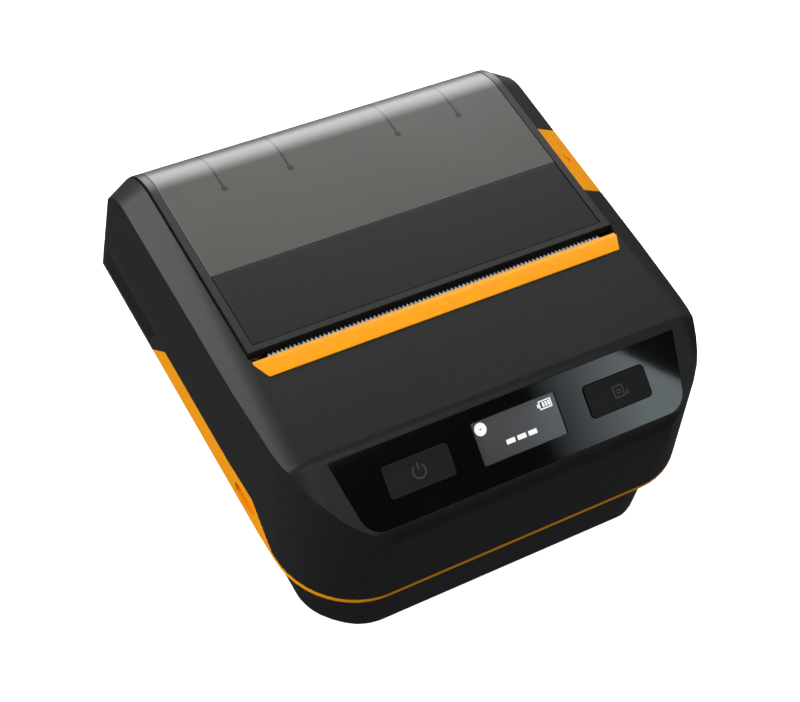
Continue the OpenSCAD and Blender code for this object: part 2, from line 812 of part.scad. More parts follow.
// Two tactile switches, each with its round plunger
module panel_switches() {
    color("#9a9a96") on_panel() for (side = [-1, 1]) translate([side * button_x, -button_s,
        switch_top - switch_h]) {
        translate([-switch_w / 2, -switch_w / 2, 0]) cube([switch_w, switch_w, switch_h - 0.6]);
        cylinder(r = 1.7, h = switch_h, $fn = 24);
    }
}

// Cap with a raised upper lip, a retaining flange and a stem over its switch
module panel_button(side) {
    on_panel() translate([side * button_x, -button_s, 0]) {
        translate([0, 0, flange_top]) linear_extrude(button_proud - flange_top)
            rounded_rect(button_w, button_h, button_r);
        translate([0, button_h / 2 - 0.55, button_proud - eps]) linear_extrude(0.25 + eps)
            rounded_rect(button_w - 0.4, 0.7, 0.3);
        translate([0, 0, flange_top - button_flange_t]) linear_extrude(button_flange_t)
            rounded_rect(button_w + 2 * button_flange, button_h + 2 * button_flange, button_r);
        translate([0, 0, flange_top - button_flange_t - stem_l]) cylinder(r = stem_d / 2, h = stem_l + eps,
            $fn = 24);
    }
}

module power_button() { color("#0d0d0d") panel_button(-1); }
module feed_button() { color("#0d0d0d") panel_button(1); }

// ---- lid ----

// Side view of the lid's outer face
module lid_side() {
    polygon(filleted([
        [rear_y, lid_low_z, 0], [rear_y, body_h, lid_round], [lid_front_y, body_h, 0], [lid_front_y,
            lid_low_z, 0]]));
}

// The lid's skin between two depths below its outer face, open at the front and below
module lid_skin(depth0, depth1, x0, x1) {
    bar_x(x0, x1) difference() {
        offset(delta = -depth0) lid_side();
        offset(delta = -depth1) lid_side();
        translate([lid_front_y - big, lid_low_z - big]) square([big + depth1,
            big + body_h - lid_low_z - depth1]);
        translate([lid_front_y, lid_low_z - big]) square([big, big + depth1]);
    }
}

module lid_frame() {
    window_half = lid_half - strip_w;
    color("#2b2b2c") {
        difference() {
            union() {
                difference() {
                    lid_skin(0, lid_t, -lid_half, lid_half);
                    // seats of the window and of the cover plate
                    window_form(-1, 0);
                    box(-window_half, window_half, cover_y0, cover_y1 + joint_line + 1, body_h - cover_t,
                        big);
                    // window opening
                    intersection() {
                        lid_skin(-1, lid_t + 1, -window_half + window_ledge, window_half - window_ledge);
                        box(-big, big, cover_y1 + window_ledge, big, window_end_z + window_ledge, big);
                    }
                    // the rear wall ends above the hinge, and the barrels hang from it
                    box(-big, big, rear_y - 3 * lid_t, big, 0, hinge_z + hinge_r + 0.4);
                }
                lid_ribs();
                lid_skirts();
                lid_arms();
                lid_barrels();
            }
            rod_x([hinge_y, hinge_z], hinge_pin_d / 2 + fit_gap, -big, big);
            rod_x([platen_y, platen_z], bush_r, -big, big);
        }
    }
}

// Ribs that show through the window
module lid_ribs() {
    intersection() {
        lid_skin(window_t, lid_t + lid_rib_d, -lid_half, lid_half);
        for (x = lid_rib_x)
            box(x - lid_rib_w / 2, x + lid_rib_w / 2, rear_y - lid_t - lid_rib_l - 4, big,
                window_end_z + 1, big);
    }
}

// Skirts that hang from the side strips beside the bay
module lid_skirts() {
    skirt_x1 = lid_half - 0.4;
    intersection() {
        lid_skin(lid_t - eps, skirt_d, -lid_half, lid_half);
        mirrored_x() box(skirt_x1 - skirt_t, skirt_x1, platen_y + 12.6, big, window_end_z - 6, big);
    }
}

// Arms that carry the platen's bushes
module lid_arms() {
    mirrored_x() bar_x(arm_x0, arm_x0 + arm_t) hull() {
        translate([platen_y, platen_z]) circle(arm_r);
        translate([platen_y - arm_r, body_h - lid_t - eps]) square([2 * arm_r, 2 * eps]);
    }
}

// Hinge barrels and the webs up to the rear wall
module lid_barrels() {
    mirrored_x() {
        rod_x([hinge_y, hinge_z], hinge_r, barrel_x0, barrel_x1);
        bar_x(barrel_x0, barrel_x1) polygon([[hinge_y, hinge_z], [hinge_y + hinge_r, hinge_z],
            [rear_y, hinge_z + hinge_r + 0.6], [rear_y - lid_t, hinge_z + hinge_r + 0.6]]);
    }
}

// The space that the window fills, from a depth below the outer face; edge leaves a line round the window
module window_form(depth0, edge) {
    window_half = lid_half - strip_w - edge;
    intersection() {
        lid_skin(depth0, window_t, -window_half, window_half);
        box(-big, big, cover_y1 + joint_line, big, window_end_z + edge, big);
    }
}

module lid_window() { color("#5a5854") window_form(0, seat_gap); }

module lid_cover_plate() {
    plate_half = lid_half - strip_w - 0.25;
    color("#151515") translate([0, cover_y0 + 0.1, body_h - cover_t]) linear_extrude(cover_t)
        translate([-plate_half, 0]) square([2 * plate_half, cover_l - 0.1]);
}

module hinge_pin() {
    color("#b9bbbd") rod_x([hinge_y, hinge_z], hinge_pin_d / 2, -shoulder_x - cheek_t, shoulder_x + cheek_t);
}

// Torsion spring round the hinge pin: one leg on the rear wall, one behind the lid's rear wall
module lid_spring() {
    turns = 8;
    pitch = 1.1;
    coil_r = hinge_pin_d / 2 + 0.8;
    leg_l = 7;
    color("#a8aaac") {
        translate([body_barrel_x1 + 1, hinge_y, hinge_z]) rotate([0, 90, 0]) rotate([0, 0, -90])
            coil(coil_r, spring_wire, pitch, turns);
        translate([body_barrel_x1 + 1, hinge_y - coil_r, hinge_z - leg_l]) cylinder(r = spring_wire / 2,
            h = leg_l, $fn = 12);
        translate([body_barrel_x1 + 1 + turns * pitch, hinge_y - coil_r, hinge_z])
            cylinder(r = spring_wire / 2, h = leg_l, $fn = 12);
    }
}

// ---- platen, carried by the lid ----

module platen_roller() {
    color("#262626") difference() {
        rod_x([platen_y, platen_z], platen_r, -rubber_half, rubber_half, $fn = 64);
        rod_x([platen_y, platen_z], platen_shaft_d / 2, -big, big);
    }
}

module platen_shaft() {
    color("#c3c5c7") rod_x([platen_y, platen_z], platen_shaft_d / 2, gear_x, lever_x0 + lever_t + 0.1);
}

module platen_gear() {
    color("#e9e6da") difference() {
        gear_x_axis([platen_y, platen_z], platen_teeth, -lift_dir, gear_x, gear_x + gear_w);
        rod_x([platen_y, platen_z], platen_shaft_d / 2, -big, big);
    }
}

module platen_bushes() {
    color("#d9d3c2") mirrored_x() difference() {
        rod_x([platen_y, platen_z], bush_r, arm_x0, plate_x1);
        rod_x([platen_y, platen_z], platen_shaft_d / 2 + fit_gap, -big, big);
    }
}

// ---- print mechanism ----

// Side plate outline with the notch that the bush drops into
module plate_outline() {
    difference() {
        polygon([[back_wall_y - plate_t, floor_z + plate_lift], [plate_rear_y, floor_z + plate_lift],
            [plate_rear_y, platen_z + 1], [plate_rear_y - 1, platen_z + 2],
            [platen_y - bush_r - 1, platen_z + 2], [back_wall_y - plate_t, sink_z1 - 1]]);
        hull() {
            translate([platen_y, platen_z]) circle(bush_r + fit_gap);
            translate([platen_y, platen_z] + 12 * lift_dir) circle(bush_r + 1);
        }
    }
}

// Holes of the screws that hold the mechanism frame down
module mechanism_screw_holes(top) {
    mirrored_x() translate([mech_screw_xy[0], mech_screw_xy[1], floor_z - mech_screw_bite])
        cylinder(r = mech_screw_r, h = top - floor_z + mech_screw_bite, $fn = 24);
}

module mechanism_frame() {
    color("#8f9396") difference() {
        union() {
            mirrored_x() {
                bar_x(plate_x0, plate_x1) plate_outline();
                box(plate_x1 - foot_bar_l, plate_x0 + 0.4, back_wall_y + 1, bay_y - bay_r - 2,
                    floor_z, floor_z + foot_bar_t);
            }
            // wall that the head springs push on
            box(-plate_x1, plate_x1, back_wall_y - plate_t, back_wall_y, sink_z0 + 2, sink_z1 - 1);
            // guide that leads the paper to the head
            box(-plate_x1, plate_x1, bay_y - bay_r - guide_l, bay_y - bay_r - 0.6, bay_lip_z - 2.5,
                bay_lip_z - 1);
            rod_x(step_yz, gear_pin_r, wheel_x - 0.4, -plate_x0);
            rod_x(lever_pivot, lever_pin_r, plate_x0, lever_x0 + lever_t + 0.4);
        }
        rod_x(head_pivot, head_pivot_r + fit_gap, -big, big);
        rod_x(motor_yz, motor_shaft_r + 0.6, -big, -plate_x0 + eps);
        mechanism_screw_holes(floor_z + 3);
    }
}

module printhead_element() {
    color("#7d6a52") box(-head_half, head_half, head_face_y - head_t, head_face_y, platen_z - 5,
        sink_z1 - 0.4);
}

module printhead_heatsink() {
    color("#b4b7ba") {
        box(-sink_half, sink_half, head_face_y - head_t - sink_t, head_face_y - head_t, sink_z0, sink_z1);
        rod_x(head_pivot, head_pivot_r, -plate_x1, plate_x1);
    }
}

module printhead_springs() {
    turns = 4;
    pitch = (3.8 - spring_wire - 0.1) / turns;
    color("#a8aaac") for (side = [-1, 1])
        translate([side * head_spring_x, back_wall_y + spring_wire / 2 + 0.05, platen_z + 1]) rotate([-90,
            0, 0])
            coil(head_spring_r, spring_wire, pitch, turns);
}

module stepper_motor() {
    motor_x0 = -plate_x0;
    color("#6e7276") difference() {
        union() {
            rod_x(motor_yz, motor_d / 2, motor_x0, motor_x0 + motor_l);
            rod_x(motor_yz, motor_d / 2 - 3, motor_x0 + motor_l - eps, motor_x0 + motor_l + 1.2);
        }
        rod_x(motor_yz, motor_shaft_r + fit_gap, motor_x0 - 1, motor_x0 + 6);
    }
}

// The pinion and the shaft that it is pressed on
module motor_pinion() {
    color("#d8b86a") {
        gear_x_axis(motor_yz, pinion_teeth, -motor_dir, wheel_x, wheel_x + wheel_w);
        rod_x(motor_yz, motor_shaft_r, wheel_x - 0.3, -plate_x0 + 5);
    }
}

// Compound gear: the small step drives the platen gear, the large step meets the pinion
module reduction_gear() {
    color("#e9e6da") difference() {
        union() {
            gear_x_axis(step_yz, step_teeth, lift_dir, wheel_x + wheel_w - eps, gear_x + gear_w,
                tooth = false);
            gear_x_axis(step_yz, wheel_teeth, motor_dir, wheel_x, wheel_x + wheel_w, tooth = false);
        }
        rod_x(step_yz, gear_pin_r + fit_gap, -big, big);
    }
}

module gap_sensor() {
    color("#111111") box(-5, 5, bay_y - bay_r - 4.4, bay_y - bay_r - 1.2, bay_lip_z - 1, bay_lip_z + 1.4);
}

// ---- release ----

module release_button() {
    color("#ffa51f") difference() {
        union() {
            // cap that follows the shoulder and the side
            intersection() {
                body_form(0);
                box(release_x0, big, release_y0, release_y1, release_z0, big);
            }
            // foot over the tail of the lock lever
            box(lever_x0, release_x0 + 2, release_foot_y - foot_l / 2, release_foot_y + foot_l / 2,
                release_z0, release_z0 + 3);
            box(lever_x0, lever_x0 + lever_t, release_foot_y - 1, release_foot_y + 1, lever_top_z + gap,
                release_z0 + eps);
        }
        // seat of the spring
        translate([release_spring_x, release_spring_y, release_z0 - 1]) cylinder(r = 2.1,
            h = release_seat + 1);
        release_chevron();
    }
}

// Engraved chevron on the shoulder
module release_chevron() {
    arm = 2.4;
    stroke = 0.7;
    slope = atan2(shoulder_drop, half_w - crease_inset - shoulder_x);
    translate([half_w - 2.6, (release_y0 + release_y1) / 2, crease_z + 1.35]) rotate([0, slope, 0])
        translate([0, 0, -0.5]) linear_extrude(3) for (turn = [-45, 45]) rotate(180 + turn)
            translate([-stroke / 2, -stroke / 2]) square([arm, stroke]);
}

module release_spring() {
    turns = 5;
    spring_l = release_seat + release_travel + gap - spring_wire - 0.1;
    color("#a8aaac") translate([release_spring_x, release_spring_y, release_floor_z + spring_wire / 2 + 0.05])
        coil(1.5, spring_wire, spring_l / turns, turns);
}

// Lever behind the shaft's right end: its nose covers the shaft, its tail lies under the button's foot
module lock_lever() {
    shaft_r = platen_shaft_d / 2;
    back_y = platen_y + shaft_r + gap;
    nose_z = platen_z + shaft_r + gap;
    color("#55585b") difference() {
        bar_x(lever_x0, lever_x0 + lever_t) union() {
            translate(lever_pivot) circle(lever_pin_r + 1.5);
            translate([back_y, lever_pivot[1]]) square([2.2, nose_z - lever_pivot[1] + 1.5]);
            polygon([[back_y + 2.2, nose_z + 1.5], [platen_y, nose_z + 1], [platen_y, nose_z],
                [back_y + 2.2, nose_z]]);
            translate([lever_pivot[0], lever_pivot[1] - 1]) square([lever_reach + 1.5, 2.2]);
            translate([release_foot_y - 1.5, lever_pivot[1] - 1]) square([3,
                lever_top_z - lever_pivot[1] + 1]);
        }
        rod_x(lever_pivot, lever_pin_r + fit_gap, -big, big);
    }
}

// ---- bay, boards and power ----

module paper_bay() {
    inner_r = bay_r - bay_t;
    color("#222222") difference() {
        bar_x(-bay_half - bay_end_t, bay_half + bay_end_t) hull() {
            translate([bay_y, bay_z]) circle(bay_r, $fn = 96);
            translate([bay_y - bay_r + 3, bay_lip_z]) square([2 * bay_r - 6, bay_top_z - bay_lip_z]);
        }
        bar_x(-bay_half, bay_half) hull() {
            translate([bay_y, bay_z]) circle(inner_r, $fn = 96);
            translate([bay_y - inner_r, bay_z]) square([2 * inner_r, big]);
        }
        box(-big, big, -big, big, bay_top_z, big);
        // the ends stand taller than the trough
        box(-bay_half, bay_half, -big, big, bay_lip_z, big);
    }
}

module main_board() {
    color("#1f5b34") {
        difference() {
            box(battery_x - board_w / 2, battery_x + board_w / 2, front_y + 5.5, front_y + 5.5 + board_l,
                board_z, board_z + board_t);
            for (x = [-1, 1], y = [2.5, board_l - 2.5])
                translate([battery_x + x * (board_w / 2 - 2.5), front_y + 5.5 + y, 0]) cylinder(r = 1.1,
                    h = big, $fn = 24);
        }
    }
    color("#1a1a1a") for (chip = [[-12, 14, 9], [8, 20, 7], [18, 9, 5]])
        translate([battery_x + chip[0], front_y + 5.5 + chip[1], board_z + board_t - eps])
            linear_extrude(1.2 + eps) square(chip[2], center = true);
}

module charge_board() {
    board_rear = base_end_y - base_end_lean - wall - 0.5;
    color("#1f5b34") box(-14, 14, board_rear - charge_board_l, board_rear, charge_board_z,
        charge_board_z + board_t);
}

module charge_port() {
    color("#b9bbbd") translate([0, rear_y - 0.9, charge_board_z + board_t + port_h / 2]) rotate([90, 0, 0]) {
        linear_extrude(port_l) difference() {
            rounded_rect(port_w, port_h, port_h / 2 - 0.01);
            rounded_rect(port_w - 0.6, port_h - 0.6, port_h / 2 - 0.31);
        }
        translate([0, 0, port_l - 0.8]) linear_extrude(0.8) rounded_rect(port_w, port_h, port_h / 2 - 0.01);
        translate([0, 0, 1.2]) linear_extrude(port_l - 1.2) square([6.4, 0.7], center = true);
    }
}

module battery_pack() {
    color("#2f4a63") hull() for (x = [-1, 1], z = [0, 1])
        translate([battery_x + x * (battery_w / 2 - 2), battery_y, battery_z + 2 + z * (battery_h - 4)])
            rotate([90, 0, 0]) cylinder(r = 2, h = battery_d, center = true, $fn = 32);
}

module battery_door() {
    color("#1c1c1c") difference() {
        battery_box(door_rim, base_z, base_z + door_t);
        // finger recess
        translate([battery_x, battery_y - battery_d / 2 + 5, base_z - 0.1]) scale([1.6, 1, 1])
            cylinder(r = 4, h = 0.8);
    }
}

module mechanism_screws() {
    color("#b9bbbd") mirrored_x() translate([mech_screw_xy[0], mech_screw_xy[1], floor_z]) {
        translate([0, 0, -mech_screw_bite]) cylinder(r = mech_screw_r, h = mech_screw_bite + foot_bar_t,
            $fn = 24);
        translate([0, 0, foot_bar_t]) cylinder(r = 1.9, h = 1.3, $fn = 32);
    }
}

module housing_screws() {
    color("#3a3a3a") mirrored_x() for (p = screw_xy) translate([p[0], p[1], base_z + wall]) difference() {
        union() {
            cylinder(r = screw_head_r, h = screw_head_h);
            cylinder(r = screw_r, h = 10.5, $fn = 24);
        }
        translate([0, 0, -eps]) cylinder(r = 1.1, h = 0.9, $fn = 6);
    }
}

module rubber_feet() {
    color("#101010") mirrored_x() for (p = foot_xy) translate([p[0], p[1], 0]) {
        cylinder(r1 = foot_r - 0.4, r2 = foot_r, h = foot_h);
        translate([0, 0, foot_h]) cylinder(r = foot_r, h = foot_t - foot_h);
    }
}

upper_shell();
bottom_shell();
side_band();
tear_bezel();
tear_blade();
panel_lens();
display_module();
panel_board();
panel_switches();
power_button();
feed_button();
release_button();
release_spring();
lock_lever();
lid_frame();
lid_window();
lid_cover_plate();
hinge_pin();
lid_spring();
platen_roller();
platen_shaft();
platen_gear();
platen_bushes();
mechanism_frame();
printhead_element();
printhead_heatsink();
printhead_springs();
stepper_motor();
motor_pinion();
reduction_gear();
gap_sensor();
paper_bay();
main_board();
charge_board();
charge_port();
battery_pack();
battery_door();
mechanism_screws();
housing_screws();
rubber_feet();
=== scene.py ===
import math
import bpy
import bmesh
from mathutils import Matrix, Vector


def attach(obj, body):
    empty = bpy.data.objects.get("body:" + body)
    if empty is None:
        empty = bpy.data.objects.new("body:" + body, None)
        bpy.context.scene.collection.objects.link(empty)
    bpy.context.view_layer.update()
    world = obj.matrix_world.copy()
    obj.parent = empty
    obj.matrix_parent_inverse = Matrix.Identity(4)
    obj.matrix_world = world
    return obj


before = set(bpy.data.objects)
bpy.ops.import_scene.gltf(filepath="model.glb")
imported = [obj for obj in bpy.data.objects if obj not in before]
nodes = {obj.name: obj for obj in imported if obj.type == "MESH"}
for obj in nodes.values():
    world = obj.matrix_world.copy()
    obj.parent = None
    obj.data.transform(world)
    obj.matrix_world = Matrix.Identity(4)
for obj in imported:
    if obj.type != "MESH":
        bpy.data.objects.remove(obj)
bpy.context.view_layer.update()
print("frame loaded:", len(nodes), "nodes")

mm = 0.001  # everything below is written in millimetres


# camera: three-quarter view from the front left, leaning with the printer

cameraSetup = dict(place=(-0.16819, -0.19447, 0.35260), right=(0.8603, -0.4877, 0.1485),
                   up=(0.3180, 0.7409, 0.5916), lens=83.1, sensor=36.0)


def placeCamera(setup):
    lens = bpy.data.cameras.new("camera")
    lens.lens = setup["lens"]
    lens.sensor_width = setup["sensor"]
    lens.clip_start = 0.01
    lens.clip_end = 20.0
    camera = bpy.data.objects.new("camera", lens)
    bpy.context.scene.collection.objects.link(camera)
    right = Vector(setup["right"]).normalized()
    back = right.cross(Vector(setup["up"])).normalized()
    up = back.cross(right)
    camera.matrix_world = Matrix.LocRotScale(
        Vector(setup["place"]), Matrix((right, up, back)).transposed().to_quaternion(), None)
    bpy.context.scene.camera = camera


placeCamera(cameraSetup)
bpy.context.scene.view_settings.view_transform = "Standard"
print("camera placed")


# materials

def linear(code):
    channels = [int(code[i:i + 2], 16) / 255 for i in (1, 3, 5)]
    return tuple(c / 12.92 if c <= 0.04045 else ((c + 0.055) / 1.055) ** 2.4 for c in channels) + (1.0,)


def addNode(tree, kind, values=None, links=None, **settings):
    node = tree.nodes.new(kind)
    for name, value in settings.items():
        setattr(node, name, value)
    for name, value in (values or {}).items():
        node.inputs[name].default_value = value
    for name, socket in (links or {}).items():
        tree.links.new(socket, node.inputs[name])
    return node


def newMaterial(name):
    material = bpy.data.materials.new(name)
    material.use_nodes = True
    tree = material.node_tree
    tree.nodes.clear()
    shader = addNode(tree, "ShaderNodeBsdfPrincipled")
    addNode(tree, "ShaderNodeOutputMaterial", links={"Surface": shader.outputs["BSDF"]})
    coords = addNode(tree, "ShaderNodeTexCoord").outputs["Object"]
    return material, tree, shader, coords


def perMetre(millimetres):
    return 1000.0 / millimetres


# the part of a noise's output that is spread over the whole change
noiseSpan = dict(narrow=(0.35, 0.65), wide=(0.3, 0.7))


# two colours that a noise wanders between, as hex
def mottle(tree, coords, size, dark, light, detail=3.0):
    noise = addNode(tree, "ShaderNodeTexNoise", {"Scale": perMetre(size), "Detail": detail, "Roughness": 0.6},
                    {"Vector": coords})
    ramp = addNode(tree, "ShaderNodeValToRGB", links={"Fac": noise.outputs["Fac"]})
    ramp.color_ramp.elements[0].position = noiseSpan["narrow"][0]
    ramp.color_ramp.elements[0].color = linear(dark)
    ramp.color_ramp.elements[1].position = noiseSpan["narrow"][1]
    ramp.color_ramp.elements[1].color = linear(light)
    return ramp.outputs["Color"]


# a value that a noise wanders between low and high, for roughness
def wander(tree, coords, size, low, high, detail=3.0):
    noise = addNode(tree, "ShaderNodeTexNoise", {"Scale": perMetre(size), "Detail": detail},
                    {"Vector": coords})
    spread = addNode(tree, "ShaderNodeMapRange",
                     {"From Min": noiseSpan["wide"][0], "From Max": noiseSpan["wide"][1],
                      "To Min": low, "To Max": high},
                     {"Value": noise.outputs["Fac"]})
    return spread.outputs["Result"]


# fine relief of the surface, size and depth in millimetres
def grainBump(tree, coords, size, depth, strength=0.5, detail=2.0):
    noise = addNode(tree, "ShaderNodeTexNoise", {"Scale": perMetre(size), "Detail": detail},
                    {"Vector": coords})
    bump = addNode(tree, "ShaderNodeBump", {"Strength": strength, "Distance": depth * mm},
                   {"Height": noise.outputs["Fac"]})
    return bump.outputs["Normal"]


absSetup = dict(mottle=2.0, patch=1.5, spread=0.008)


# moulded ABS from a spark-eroded tool: a fine even grain that breaks up the highlight
def mouldedAbs(name, dark, light, roughness, grain=0.35, depth=0.012, ior=1.53, gloss=0.5):
    material, tree, shader, coords = newMaterial(name)
    shader.inputs["Specular IOR Level"].default_value = gloss
    shader.inputs["IOR"].default_value = ior
    tree.links.new(mottle(tree, coords, absSetup["mottle"], dark, light), shader.inputs["Base Color"])
    tree.links.new(wander(tree, coords, absSetup["patch"], roughness - absSetup["spread"],
                          roughness + absSetup["spread"]), shader.inputs["Roughness"])
    tree.links.new(grainBump(tree, coords, grain, depth), shader.inputs["Normal"])
    return material


# polished plastic: flat and mirror-like, with the faint waviness of a moulded sheet
def polishedPlastic(name, dark, light, roughness, ior=1.49, gloss=0.5):
    material, tree, shader, coords = newMaterial(name)
    shader.inputs["Specular IOR Level"].default_value = gloss
    shader.inputs["IOR"].default_value = ior
    tree.links.new(mottle(tree, coords, 20.0, dark, light), shader.inputs["Base Color"])
    tree.links.new(wander(tree, coords, 6.0, roughness, roughness + 0.015), shader.inputs["Roughness"])
    tree.links.new(grainBump(tree, coords, 9.0, 0.004, 0.25, 0.0), shader.inputs["Normal"])
    return material


# metal drawn or brushed along one axis: stretched noise in roughness and bump
def workedMetal(name, dark, light, roughness, stretch=(0.06, 1.0, 1.0), size=0.4, depth=0.004):
    material, tree, shader, coords = newMaterial(name)
    shader.inputs["Metallic"].default_value = 1.0
    along = addNode(tree, "ShaderNodeMapping", {"Scale": stretch}, {"Vector": coords}).outputs["Vector"]
    tree.links.new(mottle(tree, along, size * 4, dark, light), shader.inputs["Base Color"])
    tree.links.new(wander(tree, along, size, roughness - 0.06, roughness + 0.06), shader.inputs["Roughness"])
    tree.links.new(grainBump(tree, along, size, depth), shader.inputs["Normal"])
    return material


materials = dict(
    # black ABS of the upper shell, satin with a fine grain
    shellBlack=mouldedAbs("blackSatinAbs", "#171717", "#1b1b1b", 0.44, gloss=0.3),
    # black ABS of the lid frame, painted a shade lighter as a painted highlight, so its rim stands out round
    # the dark plate
    frameBlackPaintedHighlight=mouldedAbs("blackFrameAbsPaintedHighlight", "#1f1f1f", "#242424", 0.40, gloss=0.4),
    # black ABS of the bottom shell, a little duller
    baseBlack=mouldedAbs("blackDullAbs", "#141414", "#181818", 0.48, gloss=0.3),
    # orange ABS, coloured right through, satin
    accentOrange=mouldedAbs("orangeSatinAbs", "#ffa004", "#ffa80c", 0.46, grain=0.4, depth=0.008, gloss=0.12),
    # orange bezel, smoother so that the blade glints in it
    bezelOrange=mouldedAbs("orangeSmoothAbs", "#ffa004", "#ffa80c", 0.42, grain=0.5, depth=0.005, gloss=0.12),
    # stamped stainless strip: bright, brushed along its length
    bladeSteel=workedMetal("stampedStainless", "#e2e2de", "#eeeeea", 0.48),
    # printed acrylic: black glass look with sharp reflections
    lensBlack=polishedPlastic("printedAcrylic", "#020202", "#040404", 0.035, gloss=0.2),
    # display glass over an unlit panel: mid grey and a little milky
    displayGlass=polishedPlastic("displayGlass", "#49494b", "#525254", 0.16, ior=1.52),
    # keycaps: black, softer than the lens around them
    keyBlack=mouldedAbs("blackKeycap", "#0b0b0b", "#0e0e0e", 0.5, grain=0.5, depth=0.004, gloss=0.25),
    # dark front plate of the lid
    coverBlack=mouldedAbs("blackSmoothAbs", "#141414", "#181818", 0.42, grain=0.5, depth=0.004, gloss=0.3),
    # stamped and zinc-plated sheet
    plateSteel=workedMetal("zincPlatedSheet", "#8c9093", "#a3a7aa", 0.38, size=1.2),
    # ground pins, shafts and drawn spring wire
    pinSteel=workedMetal("groundSteel", "#b4b6b8", "#c8cacc", 0.26),
    leverSteel=workedMetal("blackenedSteel", "#4c4f52", "#5c5f62", 0.42),
    screwSteel=workedMetal("blackenedScrew", "#2c2c2c", "#3a3a3a", 0.36),
    headAluminium=workedMetal("extrudedAluminium", "#aeb1b4", "#c2c5c8", 0.34, size=0.8),
    pinionBrass=workedMetal("machinedBrass", "#c9a458", "#dcba70", 0.30),
    # ground silicone rubber: matt, almost no highlight
    platenRubber=mouldedAbs("siliconeRubber", "#1c1c1c", "#242424", 0.78, grain=0.25, depth=0.01, ior=1.43),
    footRubber=mouldedAbs("softRubber", "#0c0c0c", "#121212", 0.82, grain=0.3, depth=0.012, ior=1.5),
    # moulded acetal: milky white and slippery
    gearAcetal=mouldedAbs("acetal", "#dedacd", "#ebe7da", 0.36, grain=0.6, depth=0.004, ior=1.48),
    bayBlack=mouldedAbs("blackBayAbs", "#101010", "#161616", 0.5),
    headCeramic=mouldedAbs("glazedCeramic", "#6b5a44", "#7a684f", 0.22, grain=1.0, depth=0.002, ior=1.6),
    boardGreen=mouldedAbs("greenSolderMask", "#124a26", "#1a5c30", 0.3, grain=0.8, depth=0.01, ior=1.5),
    batterySleeve=mouldedAbs("blueShrinkSleeve", "#26405a", "#2f4c68", 0.25, grain=2.0, depth=0.02, ior=1.46),
    switchGrey=mouldedAbs("greySwitch", "#8c8c88", "#9a9a96", 0.45),
)


# the ribs lie in pairs: middle of a pair, half their spacing, y of the front end, half width, end radius
ribSetup = dict(middle=21.875, apart=8.125, start=35.4, halfWidth=0.28, dot=0.75)
# the window's smoke tint, and the colour of the painted shade over the ribs under it
windowSetup = dict(ior=1.58, dark="#52504c", light="#56534f", ribShade="#262523", patch=30.0)


def calculate(tree, operation, first, second):
    node = addNode(tree, "ShaderNodeMath", operation=operation)
    for socket, value in zip(node.inputs, (first, second)):
        if isinstance(value, (int, float)):
            socket.default_value = value
        else:
            tree.links.new(value, socket)
    return node.outputs["Value"]


# 1 over the painted shade of the ribs under the window and over the round foot at the front end of each, 0
# elsewhere
def ribShadeMask(tree, coords, setup):
    split = addNode(tree, "ShaderNodeSeparateXYZ", links={"Vector": coords})
    acrossSize = calculate(tree, "ABSOLUTE", split.outputs["X"], 0.0)
    fromMiddle = calculate(tree, "SUBTRACT", acrossSize, setup["middle"] * mm)
    aside = calculate(tree, "SUBTRACT", calculate(tree, "ABSOLUTE", fromMiddle, 0.0), setup["apart"] * mm)
    aside = calculate(tree, "ABSOLUTE", aside, 0.0)
    along = calculate(tree, "SUBTRACT", split.outputs["Y"], setup["start"] * mm)
    strip = calculate(tree, "MULTIPLY", calculate(tree, "LESS_THAN", aside, setup["halfWidth"] * mm),
                      calculate(tree, "GREATER_THAN", along, 0.0))
    reach = calculate(tree, "ADD", calculate(tree, "POWER", aside, 2.0),
                      calculate(tree, "POWER", calculate(tree, "ABSOLUTE", along, 0.0), 2.0))
    foot = calculate(tree, "LESS_THAN", reach, (setup["dot"] * mm) ** 2)
    return calculate(tree, "MAXIMUM", strip, foot)


# smoke-tinted polycarbonate with a satin finish: grey-brown, with strips of painted shade where the lid's
# ribs lie under it
def smokedWindow(name):
    material, tree, shader, coords = newMaterial(name)
    shader.inputs["IOR"].default_value = windowSetup["ior"]
    tint = addNode(tree, "ShaderNodeMix", data_type="RGBA")
    tree.links.new(ribShadeMask(tree, coords, ribSetup), tint.inputs[0])
    tree.links.new(mottle(tree, coords, windowSetup["patch"], windowSetup["dark"],
                          windowSetup["light"], 1.0), tint.inputs[6])
    # painted shade: the rib strips take the dark colour
    tint.inputs[7].default_value = linear(windowSetup["ribShade"])
    tree.links.new(tint.outputs[2], shader.inputs["Base Color"])
    tree.links.new(wander(tree, coords, 5.0, 0.33, 0.36), shader.inputs["Roughness"])
    tree.links.new(grainBump(tree, coords, 0.5, 0.004), shader.inputs["Normal"])
    return material


# display ink, lit faintly from behind
def litInk(name, colour, glow):
    material, tree, shader, coords = newMaterial(name)
    tree.links.new(mottle(tree, coords, 0.8, colour, colour), shader.inputs["Base Color"])
    shader.inputs["Roughness"].default_value = 0.5
    shader.inputs["Emission Color"].default_value = linear(colour)
    shader.inputs["Emission Strength"].default_value = glow
    return material


materials["windowSmoke"] = smokedWindow("smokedPolycarbonate")
materials["displayInk"] = litInk("displayInk", "#f4f4f4", 0.55)
materials["keyPrint"] = mouldedAbs("greyKeyPrint", "#3c3c3c", "#444444", 0.5, grain=0.3, depth=0.002)

